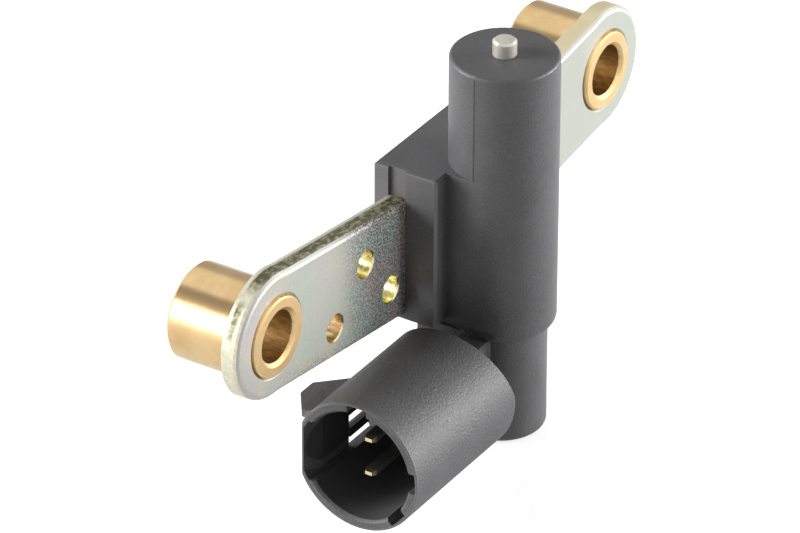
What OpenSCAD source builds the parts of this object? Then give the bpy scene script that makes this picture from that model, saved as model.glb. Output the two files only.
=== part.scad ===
// Crankshaft position sensor: an inductive pick-up moulded round a flat steel bracket.
// The origin lies midway between the two mounting bushes, on the plane of their rear faces.
// +X runs along the bracket, +Y out of the bushes' rear faces, +Z towards the sensing tip.

/* [Bracket] */
// Distance between the two mounting holes
hole_spacing = 83; // [74:1:96]
// Thickness of the steel sheet
plate_t = 2.7; // [2:0.1:4]
// Width of the arms
arm_w = 17.8; // [16:0.2:20]
// Angle at which each arm rises from the straight middle
arm_tilt = 7.8; // [2:0.1:12]
// Half length of the straight middle, which lies in the moulding
middle_half = 7.5; // [6:0.5:8]
// How much each edge of the middle is set in, to key the moulding
waist = 1; // [0.8:0.1:1.4]
// Height of the arm ends' centres above the mounting holes
end_rise = 0.2; // [0:0.1:1]
// How far the round ends stand past the arms' edges
end_margin = 0.15; // [0.1:0.05:0.4]
// Radius of the rolled edge on the front of the sheet, which is cut in three facets
plate_edge = 0.8; // [0.4:0.1:1]
// Countersink of the sheet round the bushes
sink = 0.4; // [0.2:0.1:0.6]
// Diameter of the three small holes in the left arm
small_hole_d = 3.8; // [2:0.2:4.4]

/* [Bushes] */
// Bore of each bush, for a 7 mm bolt
bush_bore_d = 7.4; // [6.5:0.1:8.5]
// Spigot of the bush, which shows as a ring in front of the arm
bush_ring_d = 11.3; // [10:0.1:12]
// Barrel of the bush, behind the arm
bush_barrel_d = 13.4; // [12.6:0.1:15]
// Length of the barrel behind the arm
bush_stand = 10.3; // [6:0.1:14]
// Height of the ring in front of the arm
ring_proud = 0.45; // [0.2:0.05:0.8]
// Chamfer on the bush's edges
bush_edge = 0.5; // [0.2:0.1:0.6]

/* [Barrel] */
// Diameter of the sensing barrel
barrel_d = 15; // [14.4:0.1:16]
// Length of the sensing barrel, from its tip to the step
barrel_l = 40.9; // [38:0.1:44]
// Height of the tip above the mounting holes
tip_height = 25.2; // [22:0.1:27]
// Distance from the barrel's axis to the front of the sheet
axis_to_plate = 8.9; // [8.6:0.1:12]
// Rounding of the tip's rim
tip_round = 0.5; // [0.2:0.1:0.8]
// Rounding of the barrel above the step
step_round = 1.4; // [0.6:0.1:2]
// Set-back of the rear mould half at the parting line
parting_step = 0.12; // [0.06:0.02:0.2]

/* [Block] */
// Width of the block round the sheet
block_w = 20.6; // [18.6:0.2:26]
// Plastic in front of the sheet
block_front = 4.85; // [4:0.05:6]
// Plastic behind the sheet
block_back = 2.4; // [1:0.05:3]
// Height of the block's top above the mounting holes
block_top = 9.25; // [7.5:0.05:10]
// Plastic below the sheet's lower edge
block_cover = 0.2; // [0.1:0.05:0.6]
// Depth of the shut-off channel over the sheet
channel_depth = 0.5; // [0.2:0.1:0.8]
// Chamfer on the block's edges
block_edge = 0.35; // [0.1:0.05:0.6]
// Height of the groove between the block and the lower web
groove_h = 1.2; // [0.6:0.1:1.6]
// Depth of that groove
groove_depth = 1; // [0.5:0.1:1.4]
// Width of the lower web
lower_web_w = 14.2; // [13.4:0.1:14.4]
// How far the lower web stands in front of the barrel's axis
lower_web_front = 1.1; // [0.5:0.1:2]

/* [Neck] */
// Width of the neck below the barrel
neck_d = 12.6; // [11.6:0.1:13.4]
// Length of the neck below the step
neck_l = 16.1; // [14.5:0.1:18]
// Rounding of the neck's lower edge
neck_round = 0.8; // [0.4:0.1:1.2]
// Width of the rib between the neck and the connector's closed end
rib_w = 4; // [3.4:0.1:6]
// Half height of that rib
rib_half = 4.6; // [4:0.1:6]

/* [Connector] */
// Outside diameter of the connector shroud
shroud_d = 19; // [18.6:0.1:21]
// Length of the shroud
shroud_l = 24.8; // [22:0.2:26]
// Distance from the barrel's axis to the mouth
mouth_reach = 36.2; // [34:0.2:40]
// Drop from the barrel's step to the shroud's axis
shroud_drop = 4.3; // [3.6:0.1:5]
// Rounding of the mouth's outer edge
mouth_round = 0.2; // [0.1:0.05:0.3]
// Rounding of the shroud's closed end
shroud_round = 0.5; // [0.2:0.1:1]
// Slope of the closed end's upper half
shoulder_angle = 17; // [5:1:24]
// Inside diameter of the socket
socket_d = 16; // [15:0.1:16.4]
// Bevel round the socket's mouth
socket_bevel = 0.35; // [0.2:0.05:0.5]
// Depth of the socket
socket_depth = 17; // [14:0.5:18]
// Width of each keyway
keyway_w = 3; // [2:0.1:3.6]
// Diameter across the keyways' floors
keyway_d = 18.3; // [17:0.1:18.5]
// Depth of the keyways from the mouth
keyway_depth = 11; // [8:0.5:13]

/* [Latch side] */
// Half height of the latch pocket
pocket_half = 4.6; // [3.6:0.1:5]
// Distance from the shroud's axis to the pocket's floor
pocket_reach = 7.5; // [7.2:0.1:7.8]
// How far the pocket widens at the mouth
pocket_flare = 0.75; // [0.4:0.05:0.85]
// Length over which the pocket widens
flare_l = 3.5; // [2:0.1:5]
// Half height of the pocket's widest part
flare_half = 3.3; // [2.4:0.1:3.5]
// Thickness of the pocket's wall at the mouth
latch_lip = 0.25; // [0.1:0.05:0.35]
// Plastic between the latch window and the end of the flat outside it
latch_wall = 0.8; // [0.6:0.1:1]
// Height of the guard rail's top above the shroud's axis
rail_top = 6.2; // [5.8:0.1:6.8]
// Height of the guard rail's foot above the shroud's axis
rail_foot = 5; // [4.6:0.1:5.2]
// Height of the guard rail's outer face
rail_face = 0.4; // [0.2:0.1:0.5]
// Distance from the shroud's axis to the guard rail's outer face
rail_reach = 10.8; // [10:0.1:12]
// Where the guard rail's outer face starts, from the mouth
rail_start = 3.2; // [2.4:0.1:4]
// Length of the guard rail's outer face
rail_l = 3; // [1.5:0.1:4]
// Where the latch window starts, from the mouth
window_start = 9.9; // [9:0.1:11]
// Length of the latch window
window_l = 6.1; // [4:0.1:6.6]
// Height of the latch window
window_h = 5; // [4.4:0.1:5.4]
// Top of the latch window above the shroud's axis
window_top = 0.1; // [-0.4:0.1:0.6]
// Thickness of the tongue that stands in the window
tongue_h = 1.4; // [1:0.1:2]
// Gap below the tongue
tongue_gap = 1.5; // [0.8:0.1:1.8]
// Gap in front of the tongue
tongue_lead = 0.3; // [0.2:0.1:1]

/* [Terminals] */
// Distance between the two pins
pin_pitch = 5.2; // [4.6:0.1:6]
// Width of each pin
pin_w = 1.6; // [1:0.1:2]
// Thickness of each pin
pin_t = 0.8; // [0.5:0.05:1]
// Distance from the mouth to the pins' tips
pin_setback = 3; // [2:0.1:5]
// Length of the pins' pointed tips
pin_tip = 0.7; // [0.3:0.1:1]
// Share of a pin's section that is left at its tip
pin_point = 0.65; // [0.4:0.05:0.9]
// Distance from the barrel's axis to each terminal's upright
upright_reach = 4.5; // [4.3:0.05:4.8]

/* [Pick-up] */
// Diameter of the pole pin
pole_d = 3.3; // [2.4:0.1:3.6]
// Height of the pole pin above the tip
pole_proud = 2.2; // [1:0.1:3]
// Rounding of the pole pin's rim
pole_edge = 0.3; // [0.1:0.05:0.5]
// Plastic over the bobbin at the tip
tip_skin = 1.6; // [1.2:0.1:2.4]
// Length of the bobbin
bobbin_l = 22.6; // [20:0.2:24]
// Diameter of the bobbin's flanges
flange_d = 11.6; // [11:0.1:12]
// Thickness of the bobbin's upper flange
upper_flange = 1.2; // [0.8:0.1:2]
// Thickness of the bobbin's lower flange
lower_flange = 2.2; // [1.6:0.1:3]
// Wall of the bobbin's tube
bobbin_wall = 1; // [0.6:0.1:1.2]
// Diameter of the winding
winding_d = 10.8; // [10:0.1:11]
// Diameter of the winding's lead
lead_d = 0.6; // [0.3:0.05:0.8]
// Diameter of the magnet
magnet_d = 7; // [6:0.1:7.4]
// Length of the magnet
magnet_l = 7; // [5:0.2:9]

/* [Hidden] */

$fn = 72;
// Clearance between pieces that are pressed or moulded together
seat = 0.03;
// How far one moulded form runs into the next
merge = 0.4;
// How far a cut runs past the face that it opens
past = 1;

half_spacing = hole_spacing / 2;
plate_back_y = -bush_stand;
plate_mid_y = plate_back_y - plate_t / 2;
plate_front_y = plate_back_y - plate_t;
axis_y = plate_front_y - axis_to_plate;
middle_z = end_rise - (half_spacing - middle_half) * tan(arm_tilt);
arm_l = (half_spacing - middle_half) / cos(arm_tilt);

barrel_r = barrel_d / 2;
web_half = barrel_r - parting_step / 2;
step_z = tip_height - barrel_l;
block_front_y = plate_front_y - block_front;
block_back_y = plate_back_y + block_back;
block_bottom = middle_z - arm_w / 2 - block_cover;
ledge_z = block_bottom - groove_h;
neck_r = neck_d / 2;
neck_bottom = step_z - neck_l;

shroud_r = shroud_d / 2;
shroud_z = step_z - shroud_drop;
shoulder = shroud_r * tan(shoulder_angle);
socket_r = socket_d / 2;
flare_reach = pocket_reach + pocket_flare;
latch_face = flare_reach + latch_lip;
window_end = window_start + window_l;
window_bottom = window_top - window_h;
tongue_bottom = window_bottom + tongue_gap;

bobbin_top = tip_height - tip_skin;
bobbin_bottom = bobbin_top - bobbin_l;
winding_bottom = bobbin_bottom + lower_flange;
bobbin_bore_r = pole_d / 2 + seat;
bobbin_tube_r = bobbin_bore_r + bobbin_wall;
magnet_top = bobbin_bottom - seat;
magnet_bottom = magnet_top - magnet_l;
winding_top = bobbin_top - upper_flange;
pin_half_pitch = pin_pitch / 2;

// Places of the small holes: distance out along the left arm, and height over its centre line
small_holes = [[13, 2.7], [5.9, -3.5], [19.6, -4.3]];
// Directions of the keyways, seen into the mouth, from the latch side through the top
keyway_angles = [90, 178, 223];

// A rectangle with its corners cut at 45 degrees, by its two opposite corners
module cut_rectangle(low, high, cut) {
    polygon([[low[0] + cut, low[1]], [high[0] - cut, low[1]], [high[0], low[1] + cut],
             [high[0], high[1] - cut], [high[0] - cut, high[1]], [low[0] + cut, high[1]],
             [low[0], high[1] - cut], [low[0], low[1] + cut]]);
}

// A box by its two opposite corners
module box(low, high) {
    translate(low)
        cube(high - low);
}

// Turns an outline in Y and Z into a bar along X
module along_x(length) {
    rotate([90, 0, 90])
        linear_extrude(length)
            children();
}

// A box with its upright edges and its edges along X cut at 45 degrees
module cut_box(low, high, cut) {
    intersection() {
        translate([0, 0, low[2]])
            linear_extrude(high[2] - low[2])
                cut_rectangle([low[0], low[1]], [high[0], high[1]], cut);
        translate([low[0], 0, 0])
            along_x(high[0] - low[0])
                cut_rectangle([low[1], low[2]], [high[1], high[2]], cut);
    }
}

// Half section of a turned form, from its middle to a rim with a rounded corner
module rim_section(r, h, rim) {
    square([r, h - rim]);
    square([r - rim, h]);
    translate([r - rim, h - rim])
        circle(rim);
}

// A turned form about Z with both its rims rounded
module turned(r, low, high, low_rim, high_rim, angle = 360) {
    middle = (low + high) / 2;
    rotate_extrude(angle = angle)
        translate([0, middle]) {
            rim_section(r, high - middle, high_rim);
            mirror([0, 1])
                rim_section(r, middle - low, low_rim);
        }
}

// Moves a form to the barrel's axis
module on_barrel_axis() {
    translate([0, axis_y, 0])
        children();
}

// Moves a form to the middle of the connector's mouth: X is then the depth and +Y the latch side
module at_mouth() {
    translate([-mouth_reach, axis_y, shroud_z])
        children();
}

// Corner points of a rolled edge, from the side at a distance r to the top at a height h
function rolled(r, h, roll) =
    [for (turn = [0:30:90]) [r - roll * (1 - cos(turn)), h - roll * (1 - sin(turn))]];

// The straight part of an arm along X, with its rolled front edges, larger by a clearance
module sheet_arm(clearance) {
    back = plate_t / 2 + clearance;
    half = arm_w / 2 + clearance;
    edge = rolled(half, back, plate_edge);
    upper = [for (point = edge) [-point[1], point[0]]];
    lower = [for (i = [len(edge) - 1:-1:0]) [-edge[i][1], -edge[i][0]]];
    translate([-clearance, 0, 0])
        along_x(arm_l + clearance)
            polygon(concat([[back, half]], upper, lower, [[back, -half]]));
}

// The narrower middle and the two rising arms, without their round ends, larger by a clearance
module sheet_bars(clearance) {
    spread = 2 * clearance;
    translate([0, plate_mid_y, middle_z]) {
        cube([2 * middle_half + 4 * waist, plate_t + spread, arm_w - 2 * waist + spread], center = true);
        for (side = [0, 1])
            mirror([side, 0, 0])
                translate([middle_half, 0, 0])
                    rotate([0, -arm_tilt, 0])
                        sheet_arm(clearance);
    }
}

// The round end of an arm, about the Y axis
module sheet_end() {
    r = arm_w / 2 + end_margin;
    half = plate_t / 2;
    rotate([90, 0, 0])
        rotate_extrude()
            polygon(concat([[0, -half], [r, -half]], rolled(r, half, plate_edge), [[0, half]]));
}

// A round hole through the sheet, about the Y axis, with a countersink at the front
module sheet_hole(d, countersink) {
    r = d / 2;
    half = plate_t / 2;
    rotate([90, 0, 0])
        rotate_extrude()
            polygon([[0, -half - past], [r, -half - past], [r, half - countersink],
                     [r + countersink + past, half + past], [0, half + past]]);
}

module mounting_bracket() {
    color([0.72, 0.73, 0.68])
        difference() {
            union() {
                sheet_bars(0);
                for (side = [-1, 1])
                    translate([side * half_spacing, plate_mid_y, end_rise])
                        sheet_end();
            }
            for (side = [-1, 1])
                translate([side * half_spacing, plate_mid_y, 0])
                    sheet_hole(bush_ring_d + 2 * seat, sink);
            for (hole = small_holes)
                translate([-middle_half, plate_mid_y, middle_z])
                    rotate([0, arm_tilt, 0])
                        translate([-hole[0], 0, hole[1]])
                            sheet_hole(small_hole_d, sink / 2);
        }
}

// One stepped bush about the Y axis, with its rear face on the origin's plane
module bush() {
    bore = bush_bore_d / 2;
    ring = bush_ring_d / 2;
    barrel = bush_barrel_d / 2;
    shoulder = bush_stand - seat;
    front = bush_stand + plate_t + ring_proud;
    ring_edge = ring_proud / 2;
    color([0.80, 0.64, 0.36])
        rotate([90, 0, 0])
            rotate_extrude()
                polygon([[bore, 0], [barrel - bush_edge, 0], [barrel, bush_edge], [barrel, shoulder],
                         [ring, shoulder], [ring, front - ring_edge], [ring - ring_edge, front],
                         [bore + bush_edge, front], [bore, front - bush_edge]]);
}

module left_bush() {
    translate([-half_spacing, 0, 0])
        bush();
}

module right_bush() {
    translate([half_spacing, 0, 0])
        bush();
}

// The barrel, with its rear mould half set back at the parting line, and the web behind it
module barrel_form() {
    on_barrel_axis() {
        turned(barrel_r - parting_step, step_z, tip_height, step_round, tip_round);
        rotate(180)
            turned(barrel_r, step_z, tip_height, step_round, tip_round, 180);
    }
    web_form();
}

// The web behind the barrel, and the lower web behind the neck, with a tapering groove between them
module web_form() {
    core_half = web_half - groove_depth;
    lower_half = lower_web_w / 2;
    translate([-web_half, 0, 0])
        along_x(2 * web_half)
            polygon([[axis_y, ledge_z], [block_front_y, block_bottom], [block_front_y + merge, block_bottom],
                     [block_front_y + merge, block_top], [axis_y, block_top]]);
    box([-core_half, axis_y, ledge_z - merge],
        [core_half, plate_front_y - groove_depth, block_bottom + merge]);
    box([-lower_half, axis_y - lower_web_front, shroud_z], [lower_half, plate_front_y, ledge_z]);
}

// The block round the bracket, with a shut-off channel over the sheet on each side face
module block_form() {
    half = block_w / 2;
    difference() {
        cut_box([-half, block_front_y, block_bottom], [half, block_back_y, block_top], block_edge);
        for (side = [0, 1])
            mirror([side, 0, 0])
                box([half - channel_depth, plate_front_y, middle_z],
                    [half + past, plate_back_y, block_top + past]);
    }
}

// The neck below the barrel, and the rib that joins it to the connector's closed end
module neck_form() {
    on_barrel_axis() {
        turned(neck_r, neck_bottom, step_z + step_round, neck_round, neck_round);
        box([shroud_l - shoulder - mouth_reach, -rib_w / 2, shroud_z - rib_half],
            [0, rib_w / 2, step_z + merge]);
    }
}

// The connector's outside: a turned shroud with a sloping shoulder at its closed end, and with
// a flat and a guard rail on the latch side
module shroud_form() {
    root = sqrt(shroud_r * shroud_r - rail_top * rail_top) - merge;
    face_end = rail_start + rail_l;
    lead = past * rail_start / (rail_reach - latch_face);
    at_mouth() {
        difference() {
            rotate([0, 90, 0])
                turned(shroud_r, 0, shroud_l, mouth_round, shroud_round);
            rotate([90, 0, 0])
                linear_extrude(shroud_d + past, center = true)
                    polygon([[shroud_l, 0], [shroud_l + past, 0], [shroud_l + past, shroud_r],
                             [shroud_l - shoulder, shroud_r]]);
            box([-past, latch_face, -shroud_r], [window_end + latch_wall, shroud_d, shroud_r]);
        }
        intersection() {
            translate([0, 0, rail_foot - past])
                linear_extrude(rail_top - rail_foot + 2 * past)
                    polygon([[0, root - past], [0, latch_face], [rail_start + lead, rail_reach + past],
                             [face_end - past, rail_reach + past],
                             [face_end + rail_reach - root + past, root - past]]);
            along_x(shroud_l)
                polygon([[root, rail_foot], [latch_face, rail_foot], [rail_reach, rail_top - rail_face],
                         [rail_reach, rail_top], [root, rail_top]]);
        }
    }
}

// The socket: a round hole with keyways, a latch pocket that widens at the mouth, and a window
// with a tongue in it
module socket_cut() {
    wide = socket_r + socket_bevel + past;
    at_mouth() {
        intersection() {
            rotate([0, 90, 0])
                rotate_extrude()
                    polygon([[0, -past], [wide, -past], [socket_r, socket_bevel], [socket_r, socket_depth],
                             [0, socket_depth]]);
            box([-2 * past, -socket_d, -socket_d], [socket_depth + past, pocket_reach, socket_d]);
        }
        intersection() {
            translate([0, 0, -socket_d])
                linear_extrude(2 * socket_d)
                    polygon([[-past, 0], [-past, flare_reach], [0, flare_reach], [flare_l, pocket_reach],
                             [window_end, pocket_reach], [window_end, 0]]);
            translate([-2 * past, 0, 0])
                along_x(window_end + 3 * past)
                    polygon([[-past, -pocket_half], [pocket_reach, -pocket_half], [flare_reach, -flare_half],
                             [shroud_r, -flare_half], [shroud_r, flare_half], [flare_reach, flare_half],
                             [pocket_reach, pocket_half], [-past, pocket_half]]);
        }
        intersection() {
            for (angle = keyway_angles)
                rotate([angle, 0, 0])
                    box([-past, socket_r - past, -keyway_w / 2], [keyway_depth, shroud_r, keyway_w / 2]);
            translate([-past, 0, 0])
                rotate([0, 90, 0])
                    cylinder(d = keyway_d, h = keyway_depth + past);
        }
        difference() {
            box([window_start, pocket_reach - past, window_bottom],
                [window_end, shroud_r, window_top]);
            box([window_start + tongue_lead, pocket_reach, tongue_bottom],
                [window_end + past, shroud_d, tongue_bottom + tongue_h]);
        }
    }
}

// A terminal: an upright beside the magnet, and a pin at a height over the shroud's axis
module terminal(upright_x, height, clearance) {
    half_t = pin_t / 2 + clearance;
    half_w = pin_w / 2 + clearance;
    pin_z = shroud_z + height;
    tip_x = pin_setback - mouth_reach;
    on_barrel_axis() {
        box([upright_x - half_t, -half_w, pin_z - half_t],
            [upright_x + half_t, half_w, magnet_top - seat + 2 * clearance]);
        box([tip_x + pin_tip, -half_w, pin_z - half_t], [upright_x, half_w, pin_z + half_t]);
        intersection() {
            translate([tip_x, half_w, pin_z])
                rotate([90, 0, 0])
                    linear_extrude(2 * half_w)
                        polygon([[0, -half_t * pin_point], [pin_tip, -half_t],
                                 [pin_tip, half_t], [0, half_t * pin_point]]);
            translate([tip_x, 0, pin_z - half_t])
                linear_extrude(2 * half_t)
                    polygon([[0, -half_w * pin_point], [pin_tip, -half_w],
                             [pin_tip, half_w], [0, half_w * pin_point]]);
        }
    }
}

// The stepped hollow that the pick-up fills, open at the tip round the pole pin
module pickup_cut() {
    on_barrel_axis()
        rotate_extrude()
            polygon([[0, magnet_bottom - seat], [magnet_d / 2 + seat, magnet_bottom - seat],
                     [magnet_d / 2 + seat, bobbin_bottom - seat],
                     [flange_d / 2 + seat, bobbin_bottom - seat],
                     [flange_d / 2 + seat, bobbin_top + seat], [bobbin_bore_r, bobbin_top + seat],
                     [bobbin_bore_r, tip_height + past], [0, tip_height + past]]);
}

module housing() {
    color([0.21, 0.21, 0.22])
        difference() {
            union() {
                barrel_form();
                block_form();
                neck_form();
                shroud_form();
            }
            socket_cut();
            pickup_cut();
            sheet_bars(seat);
            terminal(-upright_reach, pin_half_pitch, seat);
            terminal(upright_reach, -pin_half_pitch, seat);
        }
}

module pole_pin() {
    r = pole_d / 2;
    top = tip_height + pole_proud;
    color([0.66, 0.65, 0.61])
        on_barrel_axis()
            rotate_extrude()
                polygon([[0, bobbin_bottom], [r, bobbin_bottom], [r, top - pole_edge],
                         [r - pole_edge, top], [0, top]]);
}

module magnet() {
    color([0.35, 0.35, 0.37])
        on_barrel_axis()
            translate([0, 0, magnet_bottom])
                cylinder(d = magnet_d, h = magnet_l);
}

// Notches in the bobbin's lower flange, through which the winding's two ends leave
module lead_paths(d) {
    for (side = [-1, 1])
        translate([side * upright_reach, 0, magnet_top])
            cylinder(d = d, h = winding_bottom + past - magnet_top);
}

module coil_bobbin() {
    color([0.86, 0.84, 0.76])
        on_barrel_axis()
            difference() {
                rotate_extrude()
                    polygon([[bobbin_bore_r, bobbin_bottom], [flange_d / 2, bobbin_bottom],
                             [flange_d / 2, winding_bottom], [bobbin_tube_r, winding_bottom],
                             [bobbin_tube_r, winding_top], [flange_d / 2, winding_top],
                             [flange_d / 2, bobbin_top], [bobbin_bore_r, bobbin_top]]);
                translate([0, 0, -past])
                    lead_paths(lead_d + 2 * seat);
            }
}

module coil_winding() {
    color([0.66, 0.36, 0.17])
        on_barrel_axis() {
            difference() {
                translate([0, 0, winding_bottom + seat])
                    cylinder(d = winding_d, h = winding_top - winding_bottom - 2 * seat);
                translate([0, 0, winding_bottom])
                    cylinder(r = bobbin_tube_r + seat, h = winding_top - winding_bottom);
            }
            lead_paths(lead_d);
        }
}

module upper_terminal() {
    color([0.83, 0.70, 0.42])
        terminal(-upright_reach, pin_half_pitch, 0);
}

module lower_terminal() {
    color([0.83, 0.70, 0.42])
        terminal(upright_reach, -pin_half_pitch, 0);
}

housing();
mounting_bracket();
left_bush();
right_bush();
pole_pin();
magnet();
coil_bobbin();
coil_winding();
upper_terminal();
lower_terminal();
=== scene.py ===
# %% [markdown]
# A crankshaft position sensor sits beside the flywheel of an engine. A steel pole pin at the tip
# of its moulded barrel senses the teeth that pass, a flat plated bracket with two turned bushes
# holds it, and a round socket takes the harness plug. The solids come from the CAD model and are
# already the right shape and size, so this lesson is about the light, the camera and the finishes.

# %% Load the solids
import math

import bpy
from mathutils import Matrix, Vector


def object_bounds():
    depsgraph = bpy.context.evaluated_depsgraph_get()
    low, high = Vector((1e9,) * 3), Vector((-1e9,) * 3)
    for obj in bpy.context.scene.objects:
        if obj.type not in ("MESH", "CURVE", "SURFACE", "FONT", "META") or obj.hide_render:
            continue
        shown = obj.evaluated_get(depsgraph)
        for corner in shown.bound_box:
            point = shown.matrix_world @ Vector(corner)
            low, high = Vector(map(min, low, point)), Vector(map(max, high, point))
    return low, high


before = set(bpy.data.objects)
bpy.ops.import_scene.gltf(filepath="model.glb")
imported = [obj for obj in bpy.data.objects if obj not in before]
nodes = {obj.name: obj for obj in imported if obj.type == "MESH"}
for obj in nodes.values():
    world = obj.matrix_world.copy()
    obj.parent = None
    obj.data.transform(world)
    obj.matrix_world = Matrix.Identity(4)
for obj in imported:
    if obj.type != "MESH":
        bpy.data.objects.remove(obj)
cad_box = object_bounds()
MM = 0.001
print("solids:", ", ".join(sorted(nodes)))

# %% [markdown]
# The camera comes first, because every later choice is judged through it. The photograph was taken
# from the upper left with a very long lens, so parallel edges stay nearly parallel. The camera is
# built from its azimuth, elevation and roll around a point that lies in the middle of the picture:
# three unit vectors give its rotation, and no constraint is needed.

# %% Camera
AZIMUTH = math.radians(-57.737)
ELEVATION = math.radians(31.349)
ROLL = math.radians(0.247)
AIM = Vector((-9.943, -12.0, -5.83)) * MM
DISTANCE = 922.3 * MM
LENS = 310.34
SENSOR = 36
FAR_CLIP = 20  # metres

back = Vector((math.sin(AZIMUTH) * math.cos(ELEVATION),
               -math.cos(AZIMUTH) * math.cos(ELEVATION), math.sin(ELEVATION)))
level = Vector((math.cos(AZIMUTH), math.sin(AZIMUTH), 0))
upright = back.cross(level)
right = math.cos(ROLL) * level + math.sin(ROLL) * upright
up = math.cos(ROLL) * upright - math.sin(ROLL) * level

bpy.ops.object.select_all(action="DESELECT")
bpy.ops.object.camera_add()
camera = bpy.context.object
camera.name = "photo_camera"
camera.data.lens = LENS
camera.data.sensor_width = SENSOR
camera.data.clip_end = FAR_CLIP
rotation = Matrix((right, up, back)).transposed()
camera.matrix_world = Matrix.Translation(AIM + back * DISTANCE) @ rotation.to_4x4()
bpy.context.scene.camera = camera
bpy.context.scene.view_settings.view_transform = "Standard"
print("camera at", [round(c, 3) for c in camera.location])

# %% [markdown]
# Finishes are written as sums. A small class stands for one socket in a node tree: adding or
# multiplying two of them adds a Math node, and one method adds any other node. A formula then
# reads as it would on paper, and the node tree follows from it. Three soft steps say where a
# pattern begins and ends, and a colour is mixed by the value that such a formula gives.

# %% Shader sums
class Shade:
    """One socket of a node tree; operators add Math nodes, and node() adds any other node."""

    def __init__(self, tree, socket=None):
        self.tree = tree
        self.socket = socket

    def node(self, kind, settings=None, inputs=None, out=0):
        """Adds a node; a Shade is linked to its input, and any other value is set on it."""
        made = self.tree.nodes.new("ShaderNode" + kind)
        for name, value in (settings or {}).items():
            if name == "stops":
                ramp = made.color_ramp
                while len(ramp.elements) < len(value):
                    ramp.elements.new(1)
                for element, (place, colour) in zip(ramp.elements, value):
                    element.position = place
                    element.color = colour
            else:
                setattr(made, name, value)
        for name, value in (inputs or {}).items():
            if isinstance(value, Shade):
                self.tree.links.new(value.socket, made.inputs[name])
            else:
                made.inputs[name].default_value = value
        return Shade(self.tree, made.outputs[out] if len(made.outputs) else None)

    def maths(self, operation, *values):
        """Adds a Math node that works on the values in their order."""
        return self.node("Math", {"operation": operation}, dict(enumerate(values)))

    def __add__(self, other):
        return self.maths("ADD", self, other)

    def __sub__(self, other):
        return self.maths("SUBTRACT", self, other)

    def __rsub__(self, other):
        return self.maths("SUBTRACT", other, self)

    def __mul__(self, other):
        return self.maths("MULTIPLY", self, other)

    def __pow__(self, other):
        return self.maths("POWER", self, other)

    def __abs__(self):
        return self.maths("ABSOLUTE", self)

    __radd__ = __add__
    __rmul__ = __mul__

    def sine(self):
        """A wave between -1 and 1, from a value in radians."""
        return self.maths("SINE", self)

    def larger(self, other):
        """The larger one of two values."""
        return self.maths("MAXIMUM", self, other)

    def smooth(self, low, high):
        """0 below low, 1 above high, with a soft step between them."""
        return self.node("MapRange", {"interpolation_type": "SMOOTHSTEP"},
                         {"Value": self, "From Min": low, "From Max": high})

    def fade(self, low, high):
        """1 below low, 0 above high, with a soft step between them."""
        return 1 - self.smooth(low, high)

    def past(self, edge, blur):
        """0 before an edge and 1 past it; the step is soft by a blur to either side."""
        return self.smooth(edge - blur, edge + blur)

    def mix(self, first, second):
        """The first colour where this value is 0, the second where it is 1."""
        # A Mix node has sockets for each kind of value: 6, 7 and the output 2 are the colours.
        return self.node("Mix", {"data_type": "RGBA"}, {0: self, 6: first, 7: second}, 2)


def rgb(red, green, blue):
    """An opaque colour for a socket."""
    return (red, green, blue, 1)


def distance(first, second):
    """How far a point lies from a line, from two offsets that are square to it."""
    return (first ** 2 + second ** 2) ** 0.5


def empty_tree(owner):
    """Empties the node tree of a material or world, and gives the start for its sums."""
    owner.use_nodes = True
    owner.node_tree.nodes.clear()
    return Shade(owner.node_tree)


print("shader sums ready")

# %% [markdown]
# A finish starts from three values of a point on the surface: its place along X, Y and Z in
# millimetres. The place is read from Object coordinates, because each solid sits at the origin
# unturned, so a pattern has its real size and stays where it is in every view. It also reads which
# way the surface faces there, because cut edges, flat ends and level faces look different.

# %% Places on the surface
class Surface:
    """A new material, with the point's place in millimetres and helpers for common patterns."""

    def __init__(self, name):
        self.material = bpy.data.materials.new(name)
        self.start = empty_tree(self.material)
        place = self.start.node("TexCoord", out="Object")
        self.point = self.start.node("VectorMath", {"operation": "SCALE"},
                                     {0: place, "Scale": 1 / MM})
        self.x, self.y, self.z = self.parts(self.point)
        _, self.ny, self.nz = self.parts(self.start.node("NewGeometry", out="Normal"))

    def parts(self, vector):
        """The three parts of a vector."""
        made = self.start.node("SeparateXYZ", None, {0: vector}).socket.node
        return [Shade(self.start.tree, socket) for socket in made.outputs]

    def stretched(self, scale):
        """The place with each direction scaled, for patterns that run along one direction."""
        return self.start.node("VectorMath", {"operation": "MULTIPLY"}, {0: self.point, 1: scale})

    def noise(self, per_mm, detail=2, rough=0.5, point=None):
        """A cloudy pattern between 0 and 1, mostly near 0.5."""
        return self.start.node("TexNoise", None, {"Vector": point or self.point, "Scale": per_mm,
                                                  "Detail": detail, "Roughness": rough})

    def cells(self, per_mm):
        """The distance from the nearest of many scattered points."""
        return self.start.node("TexVoronoi", None, {"Vector": self.point, "Scale": per_mm})

    def finish(self, colour, roughness, metallic, height, depth):
        """Joins the sums to one Principled shader; depth is the bump's height in millimetres."""
        bump = self.start.node("Bump", None, {"Height": height, "Strength": 1.0,
                                              "Distance": depth * MM})
        shader = self.start.node("BsdfPrincipled", None, {
            "Base Color": colour, "Roughness": roughness, "Metallic": metallic, "Normal": bump})
        self.start.node("OutputMaterial", None, {"Surface": shader})
        return self.material


def dress(material, *names):
    """Puts one finish on the named solids."""
    for name in names:
        nodes[name].data.materials.clear()
        nodes[name].data.materials.append(material)
    print(material.name, "on", ", ".join(names))


# %% [markdown]
# The housing is one moulding, but its finish isn't the same all over, so the first step is to say
# where things are: the outside of the connector, the inside of its socket, and the faces that look
# up, without the round shroud. All lengths are in millimetres and in the frame of the solids. Each
# region is a value from 0 to 1, so regions are joined by multiplying them.

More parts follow.
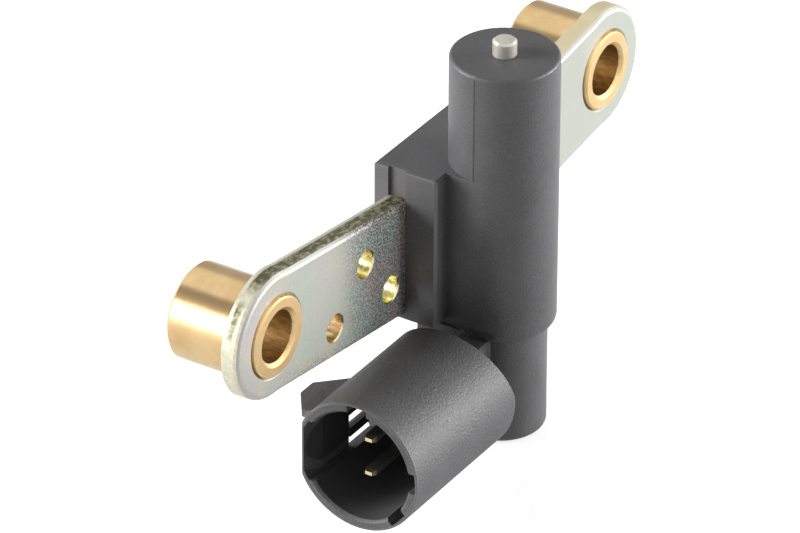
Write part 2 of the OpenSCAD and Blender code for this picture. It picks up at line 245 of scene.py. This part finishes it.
# %% Regions of the housing
BARREL_AXIS_Y = -21.9
SOCKET_AXIS_Z = -20.0
SOCKET_WALL = 8.2
NECK_EDGE_X = -11.0
MOUTH_X = -36.2
RAIL_Y = -13.5

plastic = Surface("charcoal_plastic")
from_socket = distance(plastic.y - BARREL_AXIS_Y, plastic.z - SOCKET_AXIS_Z)
left_of_neck = 1 - plastic.x.past(NECK_EDGE_X, 0.5)
behind_mouth = plastic.x.smooth(MOUTH_X + 0.1, MOUTH_X + 0.6)
inside = left_of_neck * behind_mouth * (1 - from_socket.past(SOCKET_WALL, 0.1))
connector = left_of_neck * (1 - inside)
off_rail = 1 - plastic.y.past(RAIL_Y, 0.5)
level_face = plastic.nz.smooth(0.3, 0.8) * (1 - connector * off_rail)
print("housing regions: connector, socket, level faces")

# %% [markdown]
# The parting line of the mould, on the barrel's side above the block, is drawn as a thin dark
# line. Around the pin's foot and in the corner under the block the colour is darkened as painted
# shade. The sharp edges of the block and of the mouth are painted paler as painted highlights;
# each is a line, so the highlight follows the distance from that line. The strip that shuts off
# behind the sheet and the faces that look up are painted a little paler too, as painted light.

# %% Dark line, painted shade and painted highlights on the plastic
BLOCK_TOP = 9.25
BLOCK_SIDE = 10.3
BLOCK_FRONT = -17.85
PARTING_Y = BARREL_AXIS_Y + 0.08
TIP = 25.2
PIN_SHADE_RADII = (1.7, 2.4)
SHROUD_RADIUS = 9.5
SHROUD_SHADE_X = (-30.0, -14.0)
SHROUD_SHADE_Z = (-16.0, -11.5)
WEB_LEFT = -11.2
WEB_RIGHT = -6.4
WEB_FRONT = -25.0
WEB_TOP = -13.7
SHUT_OFF_X = -9.45
SHUT_OFF_Y = -13.1
SHUT_OFF_Z = -13.8

# The parting line is drawn as a thin dark line.
upright_side = abs(plastic.nz).fade(0.4, 0.6) * plastic.z.past(BLOCK_TOP, 0.2)
parting = upright_side * abs(plastic.y - PARTING_Y).fade(0.06, 0.20)
from_pin = distance(plastic.x, plastic.y - BARREL_AXIS_Y)
# Painted shade: a darker ring around the pin's foot on the tip face.
pin_foot = plastic.z.past(TIP - 0.2, 0.1) * from_pin.fade(*PIN_SHADE_RADII)
# Painted shade: the shroud's top under the block and the web below the block are darkened.
on_shroud = connector * plastic.x.smooth(*SHROUD_SHADE_X) * plastic.z.smooth(*SHROUD_SHADE_Z)
across_web = plastic.x.past(WEB_LEFT, 0.2) * (1 - plastic.x.past(WEB_RIGHT, 0.2))
on_web = across_web * plastic.y.past(WEB_FRONT, 0.5) * (1 - plastic.z.past(WEB_TOP, 0.2))
under_block = 0.5 * on_shroud + 0.55 * on_web
# Darkening from the dark parting line and from the painted shade.
parting_line_and_painted_shade = (1 - 0.9 * parting) * (1 - 0.5 * pin_foot) * (1 - under_block)

# Painted highlights: the block's top and front edges and the mouth's outer rim are painted paler.
from_side = abs(plastic.x) - BLOCK_SIDE
top_line = distance(from_side, plastic.z - BLOCK_TOP)
front_line = distance(from_side, plastic.y - BLOCK_FRONT)
mouth_line = distance(plastic.x - MOUTH_X, from_socket - SHROUD_RADIUS)
painted_edge_highlights = top_line.fade(0.18, 0.36) + front_line.fade(0.28, 0.46) + mouth_line.fade(0.20, 0.40)
# Painted light: the strip that shuts off behind the sheet is painted paler.
left_strip = (1 - plastic.x.past(SHUT_OFF_X, 0.15)) * plastic.y.past(SHUT_OFF_Y, 0.1)
shut_off = left_strip * plastic.z.past(SHUT_OFF_Z, 0.2)
# Painted light: the edge highlights, the paler shut-off strip and the paler faces that look up.
painted_light = 0.2 * shut_off + 0.45 * painted_edge_highlights + 0.11 * level_face
# This print gives where the painted edge highlights end and where the dark line and painted shade
# end.
print("worn lines up to", BLOCK_TOP, "mm, dirt up to", TIP, "mm")

# %% [markdown]
# The plastic is glass-filled and charcoal grey. Its mould was spark-eroded, which leaves a fine
# sandy grain, stronger on the connector than on the barrel. The grain could be modelled, but at a
# fifth of a millimetre it is far below what a mesh should carry, so it is a bump, with a little of
# the same noise in the colour. Glass ends show as small specks that are a little smoother, and
# their glints are painted paler into the colour as painted highlights. The socket's inside comes
# from a core pin with less of that grain, and its colour is darkened there as painted shade.

# %% Charcoal plastic
CHARCOAL = [(0.0, rgb(0.020, 0.019, 0.020)), (0.5, rgb(0.088, 0.086, 0.090)),
            (1.0, rgb(0.156, 0.153, 0.158))]
GRAIN_DEPTH = 0.06  # each finish's bump height is in millimetres

grain = plastic.noise(3.6, 3, 0.6)
pits = plastic.cells(2.6)
blotch = plastic.noise(0.12)
speckle = (grain - 0.5) * (0.75 + 0.50 * connector)
# Painted highlights: glints at scattered specks are painted paler into the colour.
painted_glint = plastic.noise(5.2, 1).smooth(0.60, 0.74) * (0.5 + 0.5 * connector) * (1 - inside)
shade = 0.55 - 0.05 * connector + 0.8 * speckle + 0.35 * painted_glint + 0.4 * (blotch - 0.5)
# The socket's inside is darkened here as painted shade, and the painted shade and painted light
# from above are applied.
shade = shade * (1 - 0.85 * inside) * parting_line_and_painted_shade + painted_light
charcoal = shade.node("ValToRGB", {"stops": CHARCOAL}, {"Fac": shade})
dull = 0.42 + 0.2 * (grain - 0.5) + 0.12 * (blotch - 0.5) - 0.1 * painted_glint
dull = dull + 0.13 * connector + 0.2 * level_face + 0.15 * inside
relief = (grain + 0.4 * pits) * (0.6 + 0.7 * connector) * (1 - 0.7 * inside)
dress(plastic.finish(charcoal, dull, 0.0, relief, GRAIN_DEPTH), "housing")

# %% [markdown]
# The bracket is punched from steel sheet and zinc plated. Passivated zinc is a satin silver with
# a faint drift of green, pink and yellow, and a fine grain. Near the block and along the lower edge
# of the left arm the grain is coarser, and more of it is dark there, a painted reflection of the
# dark plastic and shadow around it; bright grit flecks near the block are painted glints. Near the
# block the drift of colour is stronger too. The sheet's rear has only a little of this. The right
# arm is painted a slightly darker green-grey, as painted shade against the stronger light on it.

# %% Zinc faces
ZINC_GREEN = rgb(0.50, 0.54, 0.475)
ZINC_PINK = rgb(0.55, 0.525, 0.505)
ZINC_YELLOW = rgb(0.58, 0.575, 0.48)
BLOOM_TEAL = rgb(0.40, 0.53, 0.49)
BLOOM_PINK = rgb(0.56, 0.46, 0.45)
# The dark grain colour is also laid on as painted shade, the bright one as painted glints, and the
# right arm's colour is a painted shade.
GRAIN_AND_SHADE_DARK = rgb(0.13, 0.12, 0.11)
GRIT_GLINT_BRIGHT = rgb(0.80, 0.82, 0.76)
RIGHT_ARM_SHADED_GREEN = rgb(0.485, 0.51, 0.46)
NEAR_BLOCK_X = (-28.0, -17.0)
SPECKLED_X = (-26.5, -21.5)
LOW_EDGE_X = (-44.0, -32.0)
LOW_EDGE_BAND = (0.6, 3.4)
BRIGHT_FLECKS_Z = (-1.0, 4.0)
RIGHT_ARM_X = (6.0, 12.0)
BEND_X = -7.5
BEND_LOW_Z = -13.43
ARM_SLOPE = math.tan(math.radians(7.8))

zinc = Surface("zinc_plate")
left_half = (1 - zinc.x.past(0.0, 1.0)) * (1 - 0.75 * zinc.ny.past(0.0, 0.3))
near_block = zinc.x.smooth(*NEAR_BLOCK_X) * left_half
speckled = zinc.x.smooth(*SPECKLED_X) * left_half
above_low_edge = zinc.z - BEND_LOW_Z + (zinc.x - BEND_X) * ARM_SLOPE
low_edge = above_low_edge.fade(*LOW_EDGE_BAND) * zinc.x.smooth(*LOW_EDGE_X) * left_half
# Grain with painted shade: near the block and along the low edge, the dark grain also paints a dark
# reflection.
grain_and_painted_shade = 0.5 * near_block + 0.5 * speckled + 0.6 * low_edge * (1 - speckled)
right_arm = zinc.x.smooth(*RIGHT_ARM_X)

grit = zinc.noise(3.3, 1)
drift = zinc.noise(0.075, 1).smooth(0.38, 0.60).mix(ZINC_GREEN, ZINC_PINK)
silver = zinc.noise(0.16).smooth(0.45, 0.70).mix(drift, ZINC_YELLOW)
bloom = zinc.noise(0.24, 1).smooth(0.42, 0.60).mix(BLOOM_TEAL, BLOOM_PINK)
silver = (0.65 * near_block).mix(silver, bloom)
dark_grain_and_shade = grit.smooth(0.40, 0.60) * (0.10 + 0.76 * grain_and_painted_shade)
silver = dark_grain_and_shade.mix(silver, GRAIN_AND_SHADE_DARK)
# Painted glints: bright grit flecks near the block.
painted_grit_glints = grit.fade(0.34, 0.46) * near_block * zinc.z.smooth(*BRIGHT_FLECKS_Z)
silver = (0.8 * painted_grit_glints).mix(silver, GRIT_GLINT_BRIGHT)
# Painted shade: the right arm is mixed towards a darker green-grey.
silver = (0.8 * right_arm).mix(silver, RIGHT_ARM_SHADED_GREEN)
print("zinc faces ready")

# %% [markdown]
# The punch leaves a smooth cream edge where it cut, and a torn, olive edge along the top of the
# left arm and in one patch at its end. On top of the right arm the edge is warmer. The small holes
# keep a yellow colour, more orange at the one farthest from the block, with brown mottles painted
# in as dark reflections and a pale rim painted in as a highlight.

# %% Zinc edges and holes
TORN_DARK = rgb(0.09, 0.09, 0.04)
TORN_LIGHT = rgb(0.48, 0.45, 0.27)
BACK_EDGE = rgb(0.80, 0.77, 0.62)
CREAM_DARK = rgb(0.64, 0.60, 0.45)
CREAM_LIGHT = rgb(0.79, 0.75, 0.59)
CREAM_WARM = rgb(0.82, 0.71, 0.46)
HOLE_ORANGE = rgb(0.88, 0.62, 0.38)
HOLE_LEMON = rgb(0.90, 0.83, 0.40)
# The brown mottles are a painted reflection, and the pale rim is a painted highlight.
HOLE_BROWN = rgb(0.44, 0.36, 0.14)
HOLE_RIM = rgb(0.95, 0.86, 0.62)
SHEET_BACK = -10.3
TORN_PATCH_Y = (-12.3, -11.3)
LEMON_HOLES_X = (-25.5, -24.0)
SMALL_HOLES = ((-20.01, -0.02), (-13.82, -7.12), (-27.50, -6.06))
HOLE_REACH = 2.1
ZINC_DEPTH = 0.012

streaks = zinc.noise(1.3, 4, 0.65, zinc.stretched((0.7, 1.2, 1.2)))
torn = streaks.smooth(0.42, 0.68).mix(TORN_DARK, TORN_LIGHT)
torn = zinc.y.smooth(SHEET_BACK - 0.75, SHEET_BACK - 0.35).mix(torn, BACK_EDGE)
cream = streaks.smooth(0.30, 0.70).mix(CREAM_DARK, CREAM_LIGHT)
cream = (right_arm * zinc.nz.smooth(0.3, 0.7)).mix(cream, CREAM_WARM)
left_arm = 1 - zinc.x.past(0.0, 6.0)
patch = zinc.nz.smooth(0.25, 0.45) * zinc.nz.fade(0.70, 0.85) * zinc.y.smooth(*TORN_PATCH_Y)
sheared = ((zinc.nz.smooth(0.86, 0.98) + patch) * left_arm).mix(cream, torn)
edge = abs(zinc.ny).fade(0.25, 0.6)

hole = ring = 0
for hole_x, hole_z in SMALL_HOLES:
    away = distance(zinc.x - hole_x, zinc.z - hole_z)
    near = away.fade(HOLE_REACH - 0.08, HOLE_REACH + 0.12)
    hole = hole + near
    ring = ring + near * away.smooth(HOLE_REACH - 0.22, HOLE_REACH - 0.14)
bright_yellow = zinc.x.smooth(*LEMON_HOLES_X).mix(HOLE_ORANGE, HOLE_LEMON)
# Painted reflection: brown mottles in the holes.
yellow = zinc.noise(0.7).smooth(0.36, 0.60).mix(HOLE_BROWN, bright_yellow)
# Painted highlight: the pale rim round each hole.
yellow = (0.8 * ring).mix(yellow, HOLE_RIM)

plated = hole.mix(edge.mix(silver, sheared), yellow)
satin = 0.40 + 0.10 * (grit - 0.5) - 0.15 * hole
metallic = 0.45 + 0.55 * hole
rough_zinc = grit * (0.3 + grain_and_painted_shade) + 2 * streaks * edge
dress(zinc.finish(plated, satin, metallic, rough_zinc, ZINC_DEPTH), "mounting_bracket")

# %% [markdown]
# The bushes are turned on a lathe and passivated yellow, so they look like brass. A tool leaves
# fine rings around the axis. The rings follow the distance along the axis on the barrel, and the
# distance from the axis on the flat ends, which were faced off and are duller. The bore is dull
# too, with streaks along it, and its colour is painted darker than the outside as painted shade.

# %% Yellow bushes
HALF_SPACING = 41.5
BORE_EDGE = 3.85
BRASS_LIGHT = rgb(0.84, 0.61, 0.33)
BRASS_DARK = rgb(0.74, 0.51, 0.25)
# The bore's colours are darker than the brass, as painted shade inside the hole.
BORE_DARK = rgb(0.45, 0.33, 0.17)
BORE_LIGHT = rgb(0.73, 0.56, 0.32)
RING_RATE = 26  # radians per millimetre
BUSH_DEPTH = 0.004

gold = Surface("yellow_bush")
from_bush = distance(abs(gold.x) - HALF_SPACING, gold.z)
flat_end = abs(gold.ny).smooth(0.4, 0.7)
bore = 1 - from_bush.past(BORE_EDGE, 0.1)
along = flat_end * from_bush + (1 - flat_end) * gold.y
wander = gold.noise(0.9)
rings = (RING_RATE * along + 5 * wander).sine()
tarnish = gold.noise(0.25, 4, 0.6)
fleck = gold.noise(2.2, 3, 0.6, gold.stretched((1.0, 0.3, 1.0)))
brassy = tarnish.smooth(0.3, 0.7).mix(BRASS_LIGHT, BRASS_DARK)
# Painted shade: the bore's streaked colour is darker than the brass.
shaded_bore = fleck.smooth(0.30, 0.70).mix(BORE_DARK, BORE_LIGHT)
bush_dull = 0.16 + 0.01 * rings + 0.10 * tarnish + 0.12 * bore + 0.22 * flat_end
bush_relief = 0.12 * rings + wander + 0.4 * fleck
dress(gold.finish(bore.mix(brassy, shaded_bore), bush_dull, 1.0, bush_relief, BUSH_DEPTH),
      "left_bush", "right_bush")

# %% [markdown]
# The pole pin is soft iron with a thin, satin zinc plate. It isn't a mirror: its side shows two
# lights as pale bands with a dark one between them, so it is a little over half metallic and not
# very smooth. Its end face has rings around the axis, and a slight warm stain.

# %% Pole pin
PIN_LIGHT = rgb(0.76, 0.74, 0.64)
PIN_DARK = rgb(0.64, 0.62, 0.53)
PIN_METALLIC = 0.60
SCRATCH_RATE = 30  # radians per millimetre
PIN_DEPTH = 0.002

iron = Surface("bright_iron")
from_pole = distance(iron.x, iron.y - BARREL_AXIS_Y)
end_face = iron.nz.smooth(0.5, 0.8)
along_pin = end_face * from_pole + (1 - end_face) * iron.z
scratch = (SCRATCH_RATE * along_pin + 4 * iron.noise(1.2)).sine()
stain = iron.noise(0.6, 3)
pale = stain.smooth(0.3, 0.7).mix(PIN_LIGHT, PIN_DARK)
pin_dull = 0.30 + 0.02 * scratch + 0.1 * stain
dress(iron.finish(pale, pin_dull, PIN_METALLIC, scratch, PIN_DEPTH), "pole_pin")

# %% [markdown]
# The terminals are stamped from tinned strip, and only their tips are gold plated. Their flat sides
# are brighter than their sheared sides, so the colour also changes with the side a face looks to.

# %% Terminals
GOLD_END = -32.3
GOLD_TIP = rgb(0.84, 0.70, 0.42)
TIN_LIGHT = rgb(0.64, 0.63, 0.60)
TIN_DARK = rgb(0.44, 0.43, 0.41)
STRIP_DEPTH = 0.004

strip = Surface("plated_strip")
flat_side = abs(strip.nz).smooth(0.5, 0.8)
strokes = strip.noise(2.5, 3, 0.6, strip.stretched((0.3, 3.0, 3.0)))
tinned = flat_side.mix(TIN_DARK, TIN_LIGHT)
tipped = strip.x.past(GOLD_END, 0.3).mix(GOLD_TIP, tinned)
strip_dull = 0.24 + 0.14 * strokes + 0.1 * (1 - flat_side)
dress(strip.finish(tipped, strip_dull, 1.0, strokes, STRIP_DEPTH),
      "upper_terminal", "lower_terminal")

# %% [markdown]
# Three pieces lie inside the barrel and never show: a moulded bobbin, its copper winding and the
# magnet. They still get their own finishes, so a cut model looks right. The winding's turns are a
# wave along the axis.

# %% Inner pieces
MILKY_LIGHT = rgb(0.80, 0.77, 0.66)
MILKY_DARK = rgb(0.74, 0.70, 0.58)
COPPER_LIGHT = rgb(0.66, 0.33, 0.15)
COPPER_DARK = rgb(0.52, 0.24, 0.10)
MAGNET_LIGHT = rgb(0.30, 0.30, 0.32)
MAGNET_DARK = rgb(0.22, 0.22, 0.24)
TURN_RATE = 26  # radians per millimetre

natural = Surface("natural_plastic")
cloudy = natural.noise(0.4, 3)
milky = cloudy.smooth(0.3, 0.7).mix(MILKY_LIGHT, MILKY_DARK)
dress(natural.finish(milky, 0.42 + 0.15 * cloudy, 0.0, natural.noise(3.0), 0.01), "coil_bobbin")

copper = Surface("enamelled_copper")
turns = (TURN_RATE * copper.z).sine()
enamel = copper.noise(0.5)
red = enamel.smooth(0.3, 0.7).mix(COPPER_LIGHT, COPPER_DARK)
dress(copper.finish(red, 0.3 + 0.1 * enamel, 1.0, turns, 0.03), "coil_winding")

sintered = Surface("ground_magnet")
ground = sintered.noise(2.0, 4, 0.6, sintered.stretched((4.0, 4.0, 0.5)))
steel_grey = ground.smooth(0.3, 0.7).mix(MAGNET_LIGHT, MAGNET_DARK)
dress(sintered.finish(steel_grey, 0.35 + 0.2 * ground, 0.9, ground, 0.006), "magnet")

# %% [markdown]
# The photograph has a plain white ground. The floor is a large pale sheet just below the sensor.
# To the camera and to mirrors it also glows a little, so it reads as white and still keeps a soft
# shadow; the glow is hidden from all other rays, so it adds no light to the sensor.

# %% Floor
FLOOR_GAP = 0.4 * MM
FLOOR_SIZE = 6  # metres
FLOOR_PAINT = rgb(0.82, 0.82, 0.82)
WHITE = rgb(1, 1, 1)
CAMERA_GLOW = 0.69
MIRROR_GLOW = 0.24


def ray_kinds(start):
    """Three switches: 1 for rays from the camera, from reflections and through clear materials."""
    rays = start.node("LightPath").socket.node
    names = ("Is Camera Ray", "Is Glossy Ray", "Is Transmission Ray")
    return [Shade(start.tree, rays.outputs[name]) for name in names]


bpy.ops.object.select_all(action="DESELECT")
bpy.ops.mesh.primitive_plane_add(size=FLOOR_SIZE, location=(0, 0, cad_box[0][2] - FLOOR_GAP))
floor = bpy.context.object
floor.name = "floor"
pale_floor = bpy.data.materials.new("pale_floor")
sheet = empty_tree(pale_floor)
by_camera, by_mirror, through = ray_kinds(sheet)
seen = CAMERA_GLOW * by_camera + MIRROR_GLOW * by_mirror.larger(through)
matt = sheet.node("BsdfDiffuse", None, {"Color": FLOOR_PAINT})
glow = sheet.node("Emission", None, {"Color": WHITE, "Strength": seen})
both = sheet.node("AddShader", None, {0: matt, 1: glow})
sheet.node("OutputMaterial", None, {"Surface": both})
floor.data.materials.append(pale_floor)
print("floor at", round(floor.location.z / MM, 2), "mm")

# %% [markdown]
# The light is that of a studio tent. Four soft panels face the sensor: a broad key light from the
# right, which gives the connector its long soft highlight, a weaker one in front of it that carries
# the highlight on round the barrel, one from behind for the rims, and a weak broad one from the
# left for the bushes.

# %% Panels
def panel(name, direction, metres, width, height, watts):
    """One soft light that faces the sensor from a direction."""
    toward = Vector(direction).normalized()
    bpy.ops.object.light_add(type="AREA", location=AIM + toward * metres)
    lamp = bpy.context.object
    lamp.name = name
    lamp.data.shape = "RECTANGLE"
    lamp.data.size = width
    lamp.data.size_y = height
    lamp.data.energy = watts
    lamp.rotation_euler = toward.to_track_quat("Z", "Y").to_euler()
    print(name, watts, "W")


panel("key_light", (0.74, -0.63, 0.05), metres=1.1, width=0.38, height=0.34, watts=17.2)
panel("front_light", (0.36, -0.93, 0.08), metres=1.0, width=0.40, height=0.34, watts=5.0)
panel("back_light", (-0.50, 0.80, 0.33), metres=0.7, width=0.32, height=0.32, watts=5.2)
panel("left_light", (-0.74, 0.60, 0.29), metres=0.7, width=0.42, height=0.42, watts=2.0)

# %% [markdown]
# The tent itself is an even white surround. Metal needs something dark to reflect too, so to
# reflections the tent has a gap high up at the back left and is darker far to the right. To the
# camera it is plain white, and all other rays get a weak, even light from it.

# %% Surround
GAP = (-0.56, 0.456, 0.69)
GAP_COSINES = (0.87, 0.94)  # the soft border, as cosines of the angle from the gap's middle
DARK_SIDE = (0.87, 0.48, 0.10)
DARK_COSINES = (0.80, 0.95)
AMBIENT = 0.19

surround = bpy.data.worlds.new("surround")
bpy.context.scene.world = surround
sky = empty_tree(surround)
camera_ray, glossy_ray, clear_ray = ray_kinds(sky)
outward = sky.node("TexCoord", out="Generated")
toward_gap, toward_dark = (
    sky.node("VectorMath", {"operation": "DOT_PRODUCT"}, {0: outward, 1: side}, "Value")
    for side in (GAP, DARK_SIDE))
tent = 1 - 0.7 * toward_gap.smooth(*GAP_COSINES) - 0.5 * toward_dark.smooth(*DARK_COSINES)
reflected = glossy_ray.larger(clear_ray) * tent
even = AMBIENT * (1 - camera_ray) * (1 - glossy_ray) * (1 - clear_ray)
strength = camera_ray.larger(reflected) + even
light = sky.node("Background", None, {"Color": WHITE, "Strength": strength})
sky.node("OutputWorld", None, {"Surface": light})
print("surround set, even light", AMBIENT)
